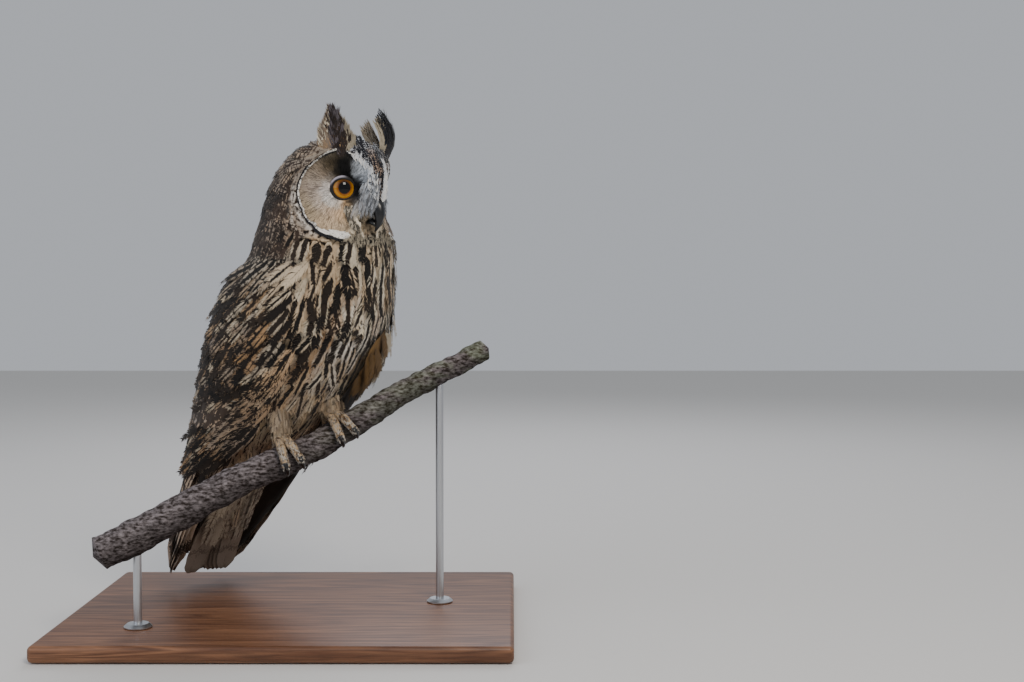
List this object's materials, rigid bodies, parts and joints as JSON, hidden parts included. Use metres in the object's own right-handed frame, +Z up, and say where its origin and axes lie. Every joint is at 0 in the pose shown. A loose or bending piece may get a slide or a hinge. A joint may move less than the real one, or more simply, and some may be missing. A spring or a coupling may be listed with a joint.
{
  "type": "long-eared owl display model",
  "caption": "Still, life-size long-eared owl gripping a sloping cut branch, held over a flat wooden base by short steel rods.",
  "frame": {"origin": "middle of the underside of the base", "axes": "+Z up, +X along the long side of the base towards the branch's high end, -Y towards the viewer in the picture"},
  "size_m": [0.33, 0.25, 0.3842],
  "materials": {
    "face_plumage": "fine radial feathers of the face",
    "plumage": "soft barred and streaked feathers",
    "horn": "dark polished horn of bill and claws",
    "eye": "glossy amber glass eye",
    "tuft_plumage": "dark ear tuft feathers with buff edges",
    "wing_plumage": "dark mottled flight and covert feathers",
    "foot_plumage": "short buff down on legs and toes",
    "bark": "rough grey-green bark",
    "base_wood": "dark oiled wood",
    "rod_steel": "brushed steel rod"
  },
  "bodies": {
    "root": {"head": "face_plumage", "neck": "plumage", "torso": "plumage", "bill_upper": "horn", "bill_lower": "horn", "eye_left": "eye", "eye_right": "eye", "ear_tuft_left": "tuft_plumage", "ear_tuft_right": "tuft_plumage", "wing_left": "wing_plumage", "wing_right": "wing_plumage", "tail": "wing_plumage", "leg_left": "foot_plumage", "leg_right": "foot_plumage", "foot_left": "foot_plumage", "foot_right": "foot_plumage", "perch": "bark", "stand_base": "base_wood", "stand_rod_left": "rod_steel", "stand_rod_right": "rod_steel", "claw_left_1": "horn", "claw_left_2": "horn", "claw_left_3": "horn", "claw_left_4": "horn", "claw_right_1": "horn", "claw_right_2": "horn", "claw_right_3": "horn", "claw_right_4": "horn"}
  },
  "joints": []
}
